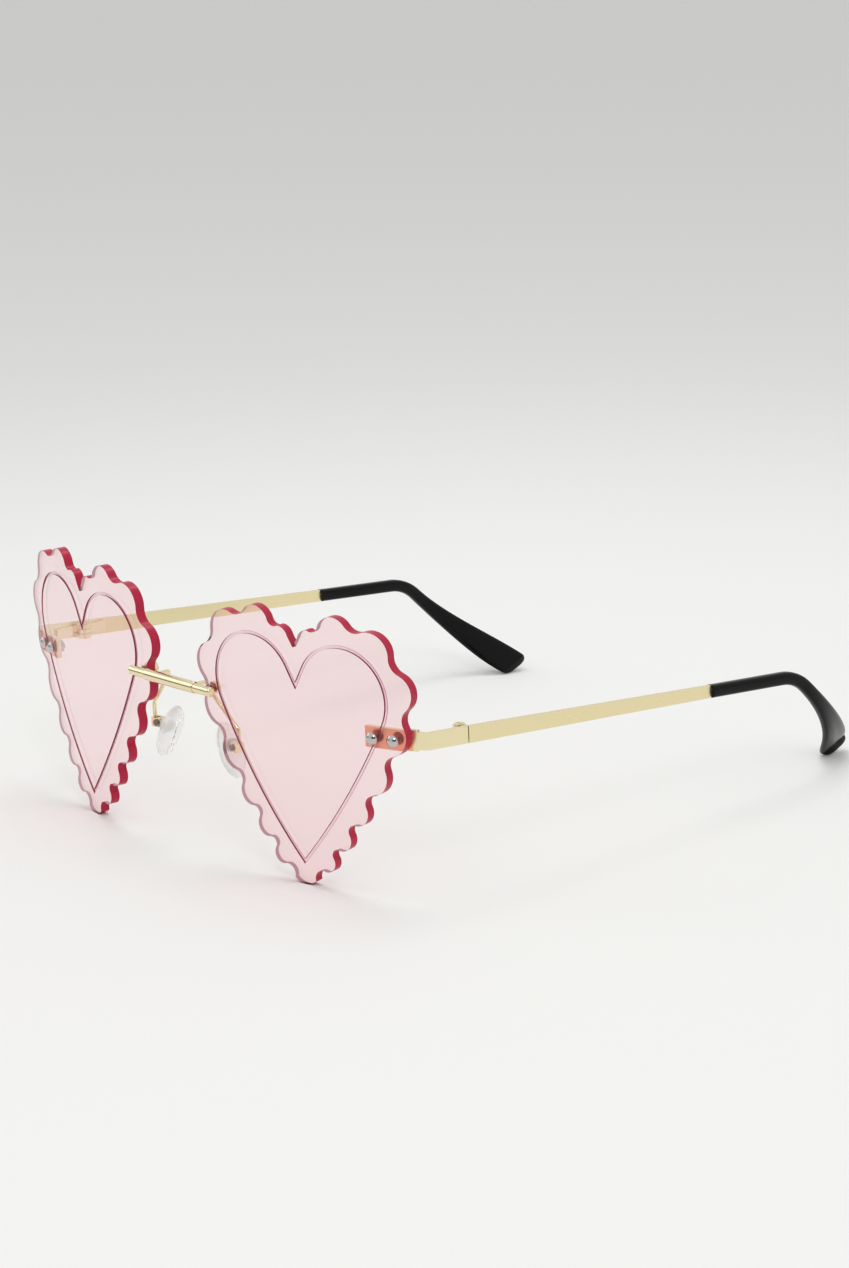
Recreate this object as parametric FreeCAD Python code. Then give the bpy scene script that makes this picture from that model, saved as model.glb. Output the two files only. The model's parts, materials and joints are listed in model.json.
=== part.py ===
# Rimless heart sunglasses: two scalloped heart lenses cut from curved sheet, a bar bridge with
# nose pads, and folding strip temples with moulded tips. Lengths are in millimetres, angles in
# degrees.
#
# Everything is built in the front frame: +X to the wearer's left, +Y back along the
# temples, +Z up, lenses upright, zero at the notch of the engraved hearts. The left side
# is built and mirrored. Last, the whole frame is leaned and lifted until it stands on
# the points of its lenses and the ends of its temple tips.
import FreeCAD
import Part
import math
import os
from FreeCAD import Matrix, Placement, Rotation, Vector

# Engraved heart
wrap_angle = 10.0
lobe_radius = 11.4
lobe_spacing = 24.6
notch_rise = 1.2
heart_depth = 39.9
side_radius = 150.0
groove_width = 0.7
groove_depth = 0.5

# Lens plate, its curve, its scalloped edge and the gap between the two lenses
lens_gap = 15.0
lens_curve_radius = 188.0
lens_thickness = 2.2
border_width = 4.9
scallop_height = 1.6
point_border = 5.3
bump_pitch_shares = (0.070, 0.118, 0.135, 0.128, 0.121, 0.113, 0.090, 0.082, 0.072)
valley_share = 0.18
notch_share = 0.3
first_bump_share = 0.3

# Screws, sleeves and nuts that hold the metal to the lenses
lug_height = -9.2
lug_spacing = 5.2
lug_offset = 1.2
lug_head_radius = 1.45
lug_head_height = 0.8
lug_shank_radius = 0.7
bushing_wall = 0.4
nut_radius = 1.45
nut_thickness = 1.1
shank_proud = 0.4

# Endpieces
strip_thickness = 1.0
strip_height = 3.8
plate_height = 4.7
plate_end_margin = 2.3
plate_overhang = 0.4
bend_radius = 1.8
endpiece_run = 9.4
temple_drop_angle = 6.0

# Hinges
hinge_inset = 2.8
knuckle_radius = 1.5
knuckle_height = 1.1
knuckle_gap = 0.08
hinge_screw_radius = 0.65
hinge_head_radius = 1.15
hinge_head_height = 0.3
hinge_plate_thickness = 0.6
hinge_plate_length = 5.0
hinge_plate_height = 2.3
hinge_plate_setback = 1.9
slot_width_share = 0.5
slot_depth_share = 0.5
open_gap = 0.24

# Temples and their moulded tips
temple_length = 75.5
temple_end_height = 2.9
tongue_length = 18.0
tongue_height = 2.0
tongue_thickness = 0.7
tip_mouth_height = 3.1
tip_mouth_thickness = 2.7
tip_straight = 24.0
tip_bend_radius = 14.0
tip_bend_angle = 38.0
tip_tail = 31.4
tip_inward = 12.0
tip_end_height = 8.6
tip_end_thickness = 2.4
tip_end_skew = 25.0
tip_end_round = 2.2
tip_end_turns = (20.0, 45.0, 72.0)
tip_section_points = 16
tip_section_power = 0.7
tip_paddle_sections = 8
tip_swell_power = 1.8
tip_full_share = 0.86

# Bridge, whose bar and sleeve reach some way over both lenses
bridge_height = -4.9
bridge_overlap = 6.9
bridge_radius = 1.1
bridge_end_round = 0.4
sleeve_overlap = 1.2
sleeve_radius = 1.35
sleeve_end_round = 0.25
bridge_clearance = 0.1
stud_inset = 2.6
stud_radius = 0.6

# Nose pads and their arms
pad_arm_radius = 0.5
pad_arm_bend = 1.6
pad_arm_clearance = 0.2
pad_arm_back = 5.2
pad_arm_rise = 3.2
pad_box_overlap = 6.9
pad_box_back = 2.7
pad_box_height = -18.8
pad_box_depth = 2.0
pad_box_tall = 2.1
pad_slot = 1.0
pad_cheek = 0.55
pad_web = 0.6
pad_toe_angle = 8.0
pad_splay_angle = 24.0
pad_length = 13.5
pad_width = 7.0
pad_thickness = 3.0
pad_reach = 3.2
pad_drop = 1.7
pad_core_radius = 1.6
pad_core_depth = 0.7
pad_tab_thickness = 0.7
pad_tab_height = 1.9
pad_screw_radius = 0.4
pad_screw_head_radius = 0.75
pad_screw_head_height = 0.35

# Fits: a seated fit stays put, a running fit turns
seated_fit = 0.02
running_fit = 0.04
overrun = 1.0
steepest_lean_angle = 30.0

UP = Vector(0, 0, 1)
BACK = Vector(0, 1, 0)
OUT = Vector(1, 0, 0)
wrap = math.radians(wrap_angle)
drop = math.tan(math.radians(temple_drop_angle))


def polar(centre, radius, angle):
    """Point of a circle in the lens plane."""
    return centre + Vector(radius * math.cos(angle), 0, radius * math.sin(angle))


def flip(point):
    """Mirror image of a point across the middle of its heart."""
    return Vector(-point.x, point.y, point.z)


def run_edge(points):
    """A straight edge through two points or an arc through three."""
    if len(points) == 2:
        return Part.LineSegment(*points).toShape()
    return Part.Arc(*points).toShape()


def mirrored_wire(runs, point_runs=(), notch_runs=()):
    """Closed wire of the runs from notch to point, their mirror images and what lies across."""
    left_runs = [[flip(point) for point in reversed(run)] for run in reversed(runs)]
    every_run = list(runs) + list(point_runs) + left_runs + list(notch_runs)
    return Part.Wire([run_edge(run) for run in every_run])


def turned(runs):
    """Solid turned about the lens normal from a closed profile of runs."""
    profile = Part.Face(Part.Wire([run_edge(run) for run in runs]))
    return profile.revolve(Vector(), BACK, 360)


def block(low, high):
    """Box between two opposite corners."""
    size = high - low
    return Part.makeBox(size.x, size.y, size.z, low)


def tube(outer, inner, length, start, direction):
    """Round sleeve with a bore through it."""
    bore_start = start - direction * overrun
    bore = Part.makeCylinder(inner, length + 2 * overrun, bore_start, direction)
    return Part.makeCylinder(outer, length, start, direction).cut(bore)


def rounded_path(points, bend):
    """Straight runs through the points, joined by tangent arcs."""
    edges = []
    start = points[0]
    for before, corner, after in zip(points, points[1:], points[2:]):
        arriving = (before - corner).normalize()
        leaving = (after - corner).normalize()
        half = arriving.getAngle(leaving) / 2
        middle = (arriving + leaving).normalize()
        arc_start = corner + arriving * (bend / math.tan(half))
        arc_end = corner + leaving * (bend / math.tan(half))
        arc_middle = corner + middle * (bend / math.sin(half) - bend)
        edges.append(run_edge([start, arc_start]))
        edges.append(run_edge([arc_start, arc_middle, arc_end]))
        start = arc_end
    edges.append(run_edge([start, points[-1]]))
    return Part.Wire(edges)


def round_wire(points, radius, bend):
    """Round wire bent along the points."""
    path = rounded_path(points, bend)
    section = Part.Wire([Part.makeCircle(radius, points[0], points[1] - points[0])])
    return path.makePipeShell([section], True, False)


def carried(shape, place):
    """Copy of a shape carried to a place."""
    placed = shape.copy()
    placed.Placement = place.multiply(placed.Placement)
    return placed


def spot_place(spot):
    """Frame at a spot of the curved lens front: X along the face, Y into it."""
    turn = math.asin(spot.x / lens_curve_radius)
    sag = lens_curve_radius * (1 - math.cos(turn))
    return Placement(Vector(spot.x, sag, spot.z), Rotation(UP, math.degrees(turn)))


def twin(shape):
    """Right side counterpart of a left side piece."""
    return shape.mirror(Vector(), OUT)


# Hearts: a lobe arc and a flatter side arc that meets it smoothly and runs to the point
lobe_centre = Vector(lobe_spacing / 2, 0, -notch_rise)
heart_point = Vector(0, 0, -heart_depth)
lobe_reach = lobe_centre.distanceToPoint(heart_point)
arc_difference = side_radius - lobe_radius
side_turn = math.acos((lobe_reach ** 2 + side_radius ** 2 - arc_difference ** 2)
                      / (2 * lobe_reach * side_radius))
lobe_bearing = math.atan2(lobe_centre.z - heart_point.z, lobe_centre.x - heart_point.x)
side_centre = polar(heart_point, side_radius, lobe_bearing + side_turn)
meeting_angle = math.atan2(lobe_centre.z - side_centre.z, lobe_centre.x - side_centre.x)
notch_slope = (math.atan2(lobe_centre.z, lobe_centre.x)
               + math.asin(lobe_radius / lobe_centre.Length))
flank_angle = notch_slope + math.pi / 2

# The scalloped edge waves about the same arcs, grown by the border
edge_lobe_radius = lobe_radius + border_width
edge_side_radius = side_radius + border_width
edge_start_angle = math.acos(-lobe_centre.x / edge_lobe_radius)
edge_end_angle = -math.acos(-side_centre.x / edge_side_radius)
edge_lobe_length = edge_lobe_radius * (edge_start_angle - meeting_angle)
edge_length = edge_lobe_length + edge_side_radius * (meeting_angle - edge_end_angle)
lens_reach = lobe_centre.x + edge_lobe_radius + scallop_height
lens_point = -heart_depth - point_border
valley_depth = scallop_height * 2 * valley_share / (1 - 2 * valley_share)

# The sheet is part of an upright round tube, so a lens is deepest along its middle
edge_turn = math.asin(lens_reach / lens_curve_radius)
edge_sag = lens_curve_radius * (1 - math.cos(edge_turn))
edge_back = edge_sag + lens_thickness / math.cos(edge_turn)
lens_half_width = lens_reach * math.cos(wrap) + edge_back * math.sin(wrap)
lens_spacing = lens_gap + 2 * lens_half_width
lens_place = Placement(Vector(lens_spacing / 2, 0, 0), Rotation(UP, wrap_angle))
sheet_axis = Vector(0, lens_curve_radius, lens_point - overrun)
sheet_height = lobe_centre.z + edge_lobe_radius + scallop_height - lens_point + 2 * overrun


def heart_wire(growth):
    """Engraved heart grown sideways by growth, seen from the front."""
    radius = lobe_radius + growth
    flank = polar(lobe_centre, radius, flank_angle)
    notch = Vector(0, 0, flank.z - flank.x * math.tan(notch_slope))
    crown = polar(lobe_centre, radius, (flank_angle + meeting_angle) / 2)
    shoulder = polar(lobe_centre, radius, meeting_angle)
    end_angle = -math.acos(-side_centre.x / (side_radius + growth))
    waist = polar(side_centre, side_radius + growth, (meeting_angle + end_angle) / 2)
    point = polar(side_centre, side_radius + growth, end_angle)
    return mirrored_wire([[notch, flank], [flank, crown, shoulder], [shoulder, waist, point]])


def edge_spot(distance, rise):
    """Point of the lens edge, a distance along it from the notch and raised outwards."""
    if distance <= edge_lobe_length:
        angle = edge_start_angle - distance / edge_lobe_radius
        return polar(lobe_centre, edge_lobe_radius + rise, angle)
    angle = meeting_angle - (distance - edge_lobe_length) / edge_side_radius
    return polar(side_centre, edge_side_radius + rise, angle)


def scalloped_wire():
    """Outline of a lens: bumps with round valleys, the first one low beside the sharp notch."""
    runs = []
    begin = 0
    pitches = [share * edge_length for share in bump_pitch_shares]
    point_pitch = 2 * (edge_length - sum(pitches))
    first = edge_spot(notch_share * pitches[0], 0)
    crest_share = first_bump_share
    for pitch, next_pitch in zip(pitches, pitches[1:] + [point_pitch]):
        end = begin + pitch
        last = edge_spot(end - valley_share * pitch, 0)
        following = edge_spot(end + valley_share * next_pitch, 0)
        runs.append([first, edge_spot(begin + pitch / 2, scallop_height * crest_share), last])
        runs.append([last, edge_spot(end, -valley_depth), following])
        begin = end
        first = following
        crest_share = 1
    notch = Vector(0, 0, edge_spot(0, 0).z - valley_depth)
    point = Vector(0, 0, lens_point)
    point_run = [runs[-1][-1], point, flip(runs[-1][-1])]
    notch_runs = [[flip(runs[0][0]), notch], [notch, runs[0][0]]]
    return mirrored_wire(runs, [point_run], notch_runs)


def column(outline):
    """Straight column behind an outline, through the whole curve of the sheet."""
    body = Part.Face(outline).extrude(BACK * (edge_back + 2 * overrun))
    body.translate(-BACK * overrun)
    return body


def sheet_core(depth):
    """All that lies deeper than a depth below the curved front of the sheet."""
    return Part.makeCylinder(lens_curve_radius - depth, sheet_height, sheet_axis, UP)


def groove_tool():
    """Ring that cuts the engraved line to an even depth below the curved front."""
    outer = column(heart_wire(groove_width / 2))
    inner = column(heart_wire(-groove_width / 2))
    return outer.cut(inner).cut(sheet_core(groove_depth))


# Places along the lens plane for the fittings
groove_at_lug = side_centre.x + math.sqrt(side_radius ** 2 - (lug_height - side_centre.z) ** 2)
lug_middle = groove_at_lug + lug_offset
lug_spots = [Vector(lug_middle + side * lug_spacing / 2, 0, lug_height) for side in (-1, 1)]
bridge_length = lens_gap + 2 * bridge_overlap
sleeve_length = lens_gap + 2 * sleeve_overlap
lens_front = lens_curve_radius * (math.cos(wrap) - 1)
bridge_back = lens_front - sleeve_radius - bridge_clearance
stud_x = bridge_length / 2 - stud_inset
stud_bearing = math.asin((stud_x - lens_spacing / 2) / lens_curve_radius + math.sin(wrap))
stud_spot = Vector(lens_curve_radius * math.sin(stud_bearing - wrap), 0, bridge_height)
stud_face = lens_curve_radius * (math.cos(wrap) - math.cos(stud_bearing))
stud_start = (bridge_back - stud_face) / math.cos(stud_bearing)
lug_bushing_radius = lug_shank_radius + bushing_wall
stud_bushing_radius = stud_radius + bushing_wall
lug_stack = lens_thickness + strip_thickness + nut_thickness


def hole_tool(radius, depth, spot):
    """Cylinder that bores a hole square to the lens face at a spot."""
    bore = Part.makeCylinder(radius, depth + 2 * overrun, -BACK * overrun, BACK)
    return carried(bore, spot_place(spot))


def lens():
    """Curved lens plate with its engraved heart and its fitting holes."""
    plate = column(scalloped_wire()).common(sheet_core(0)).cut(sheet_core(lens_thickness))
    plate = plate.cut(groove_tool())
    holes = [(spot, lug_bushing_radius) for spot in lug_spots]
    holes.append((stud_spot, stud_bushing_radius))
    for spot, radius in holes:
        plate = plate.cut(hole_tool(radius + seated_fit, lens_thickness, spot))
    return carried(plate, lens_place)


def domed_screw(head_radius, head_height, shank_radius, length):
    """Screw with a domed head in front of the face and a shank behind it."""
    dome_radius = (head_radius ** 2 + head_height ** 2) / (2 * head_height)
    half_angle = math.asin(head_radius / dome_radius) / 2
    crown = Vector(0, -head_height, 0)
    side = Vector(dome_radius * math.sin(half_angle),
                  dome_radius * (1 - math.cos(half_angle)) - head_height, 0)
    rim = Vector(head_radius, 0, 0)
    neck = Vector(shank_radius, 0, 0)
    foot = Vector(shank_radius, length, 0)
    end = Vector(0, length, 0)
    return turned([[crown, side, rim], [rim, neck], [neck, foot], [foot, end], [end, crown]])


def at_spots(shape, spots):
    """Copies of a shape at several places on the left lens."""
    copies = [carried(shape, lens_place.multiply(spot_place(spot))) for spot in spots]
    return copies[0] if len(copies) == 1 else Part.makeCompound(copies)


def lug_screws():
    """Two silver screws whose domed heads sit on the lens front."""
    length = lug_stack + shank_proud
    screw = domed_screw(lug_head_radius, lug_head_height, lug_shank_radius, length)
    return at_spots(screw, lug_spots)


def bushings(shank_radius, spots):
    """Clear sleeves between the shanks and the lens."""
    outer = shank_radius + bushing_wall
    inner = shank_radius + seated_fit
    return at_spots(tube(outer, inner, lens_thickness, Vector(), BACK), spots)


def nuts(shank_radius, seat, spots):
    """Hexagon nuts that close the screws behind the metal."""
    hollow = lens_curve_radius - seat
    face = seat + hollow - math.sqrt(hollow ** 2 - nut_radius ** 2)
    corners = [polar(BACK * face, nut_radius, side * math.pi / 3) for side in range(7)]
    body = Part.Face(Part.makePolygon(corners)).extrude(BACK * nut_thickness)
    start = BACK * (face - overrun)
    bore = Part.makeCylinder(shank_radius + seated_fit, nut_thickness + 2 * overrun, start, BACK)
    return at_spots(body.cut(bore), spots)


# Endpiece in plan: along the back of the lens, round the bend, then straight back along +Y
plate_end = Vector(lens_reach - plate_overhang, 0, 0)
plate_back = lens_thickness + strip_thickness
bend_place = spot_place(plate_end)
bend_centre = Vector(2 * plate_overhang, plate_back + bend_radius, 0)
bend_end_angle = -wrap - math.asin(plate_end.x / lens_curve_radius)
bend_middle = lens_place.multVec(bend_place.multVec(bend_centre))
strip_outside = bend_middle.x + bend_radius + strip_thickness
strip_inside = strip_outside - strip_thickness
run_start = bend_middle.y
split_back = run_start + endpiece_run
split_height = lug_height - drop * endpiece_run
hinge_axis = Vector(strip_outside - hinge_inset, split_back, split_height)


def plan_spot(radius, angle):
    """Point of the endpiece's bend, seen from above."""
    return bend_centre + Vector(radius * math.cos(angle), radius * math.sin(angle), 0)


def sloped_strip(start_back, start_mid, start_height, end_back, end_mid, end_height):
    """Flat strip in the temple's plane, given by the middle and height of its two ends."""
    corners = [
        Vector(strip_inside, start_back, start_mid - start_height / 2),
        Vector(strip_inside, end_back, end_mid - end_height / 2),
        Vector(strip_inside, end_back, end_mid + end_height / 2),
        Vector(strip_inside, start_back, start_mid + start_height / 2),
    ]
    face = Part.Face(Part.makePolygon(corners + corners[:1]))
    return face.extrude(OUT * strip_thickness)


def endpiece():
    """Gold strip: plate behind the lens, bend, and the run back to the hinge."""
    plate_start = lug_spots[0] - OUT * plate_end_margin
    half_tall = plate_height / 2
    corners = [Vector(0, depth, tall) for depth, tall in (
        (lens_thickness, -half_tall), (plate_back, -half_tall),
        (plate_back, half_tall), (lens_thickness, half_tall))]
    plate_section = Part.Face(Part.makePolygon(corners + corners[:1]))
    start_turn = math.asin(plate_start.x / lens_curve_radius)
    plate_sweep = math.degrees(-wrap - bend_end_angle - start_turn)
    plate = carried(plate_section, spot_place(plate_start)).revolve(sheet_axis, UP, plate_sweep)
    bottom = -math.pi / 2
    half_way = (bottom + bend_end_angle) / 2
    outer = bend_radius + strip_thickness
    inner = bend_radius
    inner_start = Vector(0, plate_back, 0)
    outer_start = Vector(0, lens_thickness, 0)
    bend_runs = [
        [outer_start, plan_spot(outer, bottom)],
        [plan_spot(outer, bottom), plan_spot(outer, half_way), plan_spot(outer, bend_end_angle)],
        [plan_spot(outer, bend_end_angle), plan_spot(inner, bend_end_angle)],
        [plan_spot(inner, bend_end_angle), plan_spot(inner, half_way), plan_spot(inner, bottom)],
        [plan_spot(inner, bottom), inner_start],
        [inner_start, outer_start],
    ]
    bend = Part.Face(Part.Wire([run_edge(run) for run in bend_runs])).extrude(UP * strip_height)
    bend.translate(UP * (lug_height - strip_height / 2))
    body = plate.fuse(carried(bend, bend_place))
    for spot in lug_spots:
        body = body.cut(hole_tool(lug_shank_radius + seated_fit, plate_back, spot))
    run_end = split_back - open_gap / 2
    run = sloped_strip(run_start, lug_height, strip_height,
                       run_end, lug_height - drop * (run_end - run_start), strip_height)
    return carried(body, lens_place).fuse(run).removeSplitter()


# Hinge levels along its axis: two outer knuckles on the front, one between them on the temple
stack_height = 3 * knuckle_height + 2 * knuckle_gap
lower_level = split_height - stack_height / 2
middle_level = lower_level + knuckle_height + knuckle_gap
upper_level = middle_level + knuckle_height + knuckle_gap


def knuckle(level, side, bore_radius):
    """Barrel on the hinge axis with an arm out to the strip, on the front or the temple side."""
    foot = Vector(hinge_axis.x, hinge_axis.y, level)
    barrel = Part.makeCylinder(knuckle_radius, knuckle_height, foot, UP)
    arm_ends = sorted([hinge_axis.y, hinge_axis.y + side * knuckle_radius])
    arm = block(Vector(hinge_axis.x, arm_ends[0], level),
                Vector(strip_inside, arm_ends[1], level + knuckle_height))
    arm.translate(BACK * (side * open_gap / 2))
    bore = Part.makeCylinder(bore_radius, knuckle_height + 2 * overrun, foot - UP * overrun, UP)
    return barrel.fuse(arm).cut(bore)


def hinge_plate(side):
    """Plate soldered on the inside of a strip, with room for the knuckles to pass."""
    near = hinge_axis.y + side * hinge_plate_setback
    ends = sorted([near - side * hinge_plate_setback / 2, near + side * hinge_plate_length])
    middle = split_height - drop * side * hinge_plate_length / 2
    low = middle - hinge_plate_height / 2
    return block(Vector(strip_inside - hinge_plate_thickness, ends[0], low),
                 Vector(strip_inside, ends[1], low + hinge_plate_height))


def hinge_front():
    """Front half of the hinge, on the endpiece."""
    bore = hinge_screw_radius + seated_fit
    knuckles = [knuckle(lower_level, -1, bore), knuckle(upper_level, -1, bore)]
    return hinge_plate(-1).fuse(knuckles).removeSplitter()


def hinge_rear():
    """Rear half of the hinge, on the temple."""
    bore = hinge_screw_radius + running_fit
    return hinge_plate(1).fuse(knuckle(middle_level, 1, bore)).removeSplitter()


def hinge_screw():
    """Slotted screw down the hinge axis."""
    top = Vector(hinge_axis.x, hinge_axis.y, upper_level + knuckle_height)
    shank = Part.makeCylinder(hinge_screw_radius, stack_height, top - UP * stack_height, UP)
    head = Part.makeCylinder(hinge_head_radius, hinge_head_height, top, UP)
    slot_half = hinge_screw_radius * slot_width_share / 2
    slot_floor = top.z + hinge_head_height * (1 - slot_depth_share)
    slot = block(Vector(top.x - hinge_head_radius - overrun, top.y - slot_half, slot_floor),
                 Vector(top.x + hinge_head_radius + overrun, top.y + slot_half, slot_floor + overrun))
    return shank.fuse(head).cut(slot)


# Temple strip and its tip, along the same slope
temple_start = split_back + open_gap / 2
mouth_back = split_back + temple_length
mouth_height = split_height - drop * temple_length
strip_middle = strip_outside - strip_thickness / 2
slope = math.radians(temple_drop_angle)
along_strip = Vector(0, math.cos(slope), -math.sin(slope))


def tongue(play):
    """End of the temple that the tip is pushed over, with some play all round."""
    half_tall = tongue_height / 2 + play
    half_thick = tongue_thickness / 2 + play
    reach = tongue_length + play
    ends = ((0, -half_tall), (reach, -half_tall), (reach, half_tall), (0, half_tall))
    corners = [Vector(strip_middle - half_thick, mouth_back + end, mouth_height + tall - drop * end)
               for end, tall in ends]
    return Part.Face(Part.makePolygon(corners + corners[:1])).extrude(OUT * (2 * half_thick))


def temple():
    """Flat temple strip with its thin tongue."""
    strip = sloped_strip(temple_start, split_height - drop * (temple_start - split_back), strip_height,
                         mouth_back, mouth_height, temple_end_height)
    return strip.fuse(tongue(0)).removeSplitter()


def leaning(lean):
    """Upright direction, leaned back along the temple."""
    return Vector(0, math.sin(lean), math.cos(lean))


def rounded_power(wave):
    """Sine or cosine drawn out towards its ends, which turns an oval into a rounded box."""
    return math.copysign(abs(wave) ** tip_section_power, wave)


def tip_section(spot, lean, height, thickness):
    """Rounded section of the tip, across a spot and leaned back."""
    points = []
    for step in range(tip_section_points):
        angle = 2 * math.pi * step / tip_section_points
        tall = rounded_power(math.sin(angle)) * height / 2
        wide = rounded_power(math.cos(angle)) * thickness / 2
        points.append(spot + OUT * wide + leaning(lean) * tall)
    curve = Part.BSplineCurve()
    curve.interpolate(points, PeriodicFlag=True)
    return Part.Wire([curve.toShape()])


def tip_paddle(start):
    """Flared end of the tip, which heads down, turns inwards and ends in a rounded edge."""
    bend_turn = math.radians(tip_bend_angle)
    heading = slope + bend_turn
    along_tail = Vector(0, math.cos(heading), -math.sin(heading))
    end_lean = heading + math.radians(tip_end_skew)
    sections = []
    for step in range(tip_paddle_sections + 1):
        place_share = step / tip_paddle_sections
        swell_share = min(1, place_share / tip_full_share) ** tip_swell_power
        height = tip_mouth_height + (tip_end_height - tip_mouth_height) * swell_share
        thickness = tip_mouth_thickness + (tip_end_thickness - tip_mouth_thickness) * swell_share
        spot = start + along_tail * (tip_tail * place_share) - OUT * (tip_inward * place_share ** 2)
        lean = bend_turn + (end_lean - bend_turn) * swell_share
        sections.append(tip_section(spot, lean, height, thickness))
    last = spot
    end_sections = sections[-1:]
    for turn in tip_end_turns:
        spot = last + along_tail * (tip_end_round * math.sin(math.radians(turn)))
        shrink_share = 1 - math.cos(math.radians(turn))
        height = tip_end_height - 2 * tip_end_round * shrink_share
        thickness = tip_end_thickness * (1 - shrink_share / 2)
        end_sections.append(tip_section(spot, end_lean, height, thickness))
    smooth_degree = 3
    return [Part.makeLoft(wires, True, False, False, smooth_degree) for wires in (sections, end_sections)]


def temple_tip():
    """Black moulded tip: straight sleeve, bend, and a flared paddle that stands on the floor."""
    mouth = Vector(strip_middle, mouth_back, mouth_height)
    bend_start = mouth + along_strip * tip_straight
    pivot = bend_start - leaning(slope) * tip_bend_radius
    bend_end = pivot + leaning(slope + math.radians(tip_bend_angle)) * tip_bend_radius
    mouth_face = Part.Face(tip_section(mouth, 0, tip_mouth_height, tip_mouth_thickness))
    sleeve = mouth_face.extrude(along_strip * tip_straight)
    bend_face = Part.Face(tip_section(bend_start, 0, tip_mouth_height, tip_mouth_thickness))
    bend = bend_face.revolve(pivot, -OUT, tip_bend_angle)
    body = sleeve.fuse([bend, *tip_paddle(bend_end)]).removeSplitter()
    return body.cut(tongue(seated_fit))


# Bridge
bridge_axis = Vector(0, bridge_back, bridge_height)


def rounded_bar(radius, length, edge_round):
    """Round bar across the nose with softened ends."""
    bar = Part.makeCylinder(radius, length, bridge_axis - OUT * (length / 2), OUT)
    rims = [edge for edge in bar.Edges if edge.isClosed()]
    return bar.makeFillet(edge_round, rims)


def bridge_bar():
    """Slim bar from lens to lens."""
    return rounded_bar(bridge_radius, bridge_length, bridge_end_round)


def bridge_sleeve():
    """Thicker sleeve over the middle of the bar."""
    start = bridge_axis - OUT * (sleeve_length / 2 + overrun)
    bore = Part.makeCylinder(bridge_radius + seated_fit, sleeve_length + 2 * overrun, start, OUT)
    return rounded_bar(sleeve_radius, sleeve_length, sleeve_end_round).cut(bore)


def bridge_stud():
    """Threaded stud from the bar back through the lens."""
    end = lens_thickness + nut_thickness + shank_proud
    stud = Part.makeCylinder(stud_radius, end - stud_start, BACK * stud_start, BACK)
    return at_spots(stud, [stud_spot]).cut(bridge_bar())


# Nose pads, in a frame of their own at the screw of the pad box
pad_box_out = lens_gap / 2 + pad_box_overlap
pad_place = Vector(pad_box_out, pad_box_back, pad_box_height)
pad_frame = Placement(pad_place, Rotation(UP, -pad_toe_angle))
arm_out = lens_gap / 2 - pad_arm_clearance - pad_arm_radius
cheek_half = pad_slot / 2 + pad_cheek
box_half = pad_box_depth / 2


def pad_bore(radius):
    """Cylinder along the pad screw, longer than the box."""
    start = -BACK * (cheek_half + overrun)
    return Part.makeCylinder(radius, 2 * (cheek_half + overrun), start, BACK)


def pad_box():
    """Gold clevis box that holds the pad's tab between two cheeks."""
    half_tall = pad_box_tall / 2
    body = block(Vector(-box_half, -cheek_half, -half_tall),
                 Vector(box_half + pad_web, cheek_half, half_tall))
    slot = block(Vector(-box_half - overrun, -pad_slot / 2, -half_tall - overrun),
                 Vector(box_half, pad_slot / 2, half_tall + overrun))
    return carried(body.cut(slot).cut(pad_bore(pad_screw_radius + seated_fit)), pad_frame)


def pad_arm():
    """Gold wire from the back of the bridge, past the lens edge and down to the pad box."""
    web_top = Vector(box_half + pad_web / 2, 0, pad_box_tall / 2)
    start = bridge_axis + OUT * arm_out
    points = [
        start,
        start + BACK * pad_arm_back,
        pad_frame.multVec(web_top + UP * pad_arm_rise),
        pad_frame.multVec(web_top),
    ]
    wire = round_wire(points, pad_arm_radius, pad_arm_bend)
    return wire.cut(rounded_bar(sleeve_radius, sleeve_length, sleeve_end_round))


def pad_screw():
    """Small dark screw across the pad box."""
    front = -BACK * cheek_half
    shank = Part.makeCylinder(pad_screw_radius, 2 * cheek_half, front, BACK)
    head_front = front - BACK * pad_screw_head_height
    head = Part.makeCylinder(pad_screw_head_radius, pad_screw_head_height, head_front, BACK)
    return carried(shank.fuse(head), pad_frame)


def pad_core():
    """Core of the pad: a disc set in its back and a tab with an eye for the screw."""
    back_face = pad_thickness / 2 - pad_reach
    disc_start = OUT * (back_face - pad_core_depth)
    disc = Part.makeCylinder(pad_core_radius, pad_core_depth, disc_start, OUT)
    half_tall = pad_tab_height / 2
    half_thick = pad_tab_thickness / 2
    tab = block(Vector(back_face, -half_thick, -half_tall), Vector(0, half_thick, half_tall))
    eye = Part.makeCylinder(half_tall, pad_tab_thickness, -BACK * half_thick, BACK)
    core = disc.fuse([tab, eye]).cut(pad_bore(pad_screw_radius + running_fit))
    return carried(core.removeSplitter(), pad_frame)


def nose_pad():
    """Clear oval pad with a pocket for its core."""
    scale = Matrix()
    scale.scale(pad_thickness / 2, pad_width / 2, pad_length / 2)
    pad = Part.makeSphere(1).transformGeometry(scale)
    lean = Placement(Vector(-pad_reach, 0, -pad_drop), Rotation(BACK, -pad_splay_angle))
    pad.Placement = lean
    pocket_start = pad_thickness / 2 - pad_reach - pad_core_depth
    pocket = Part.makeCylinder(pad_core_radius, pad_reach + overrun, OUT * pocket_start, OUT)
    return carried(pad.cut(pocket), pad_frame)


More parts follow.
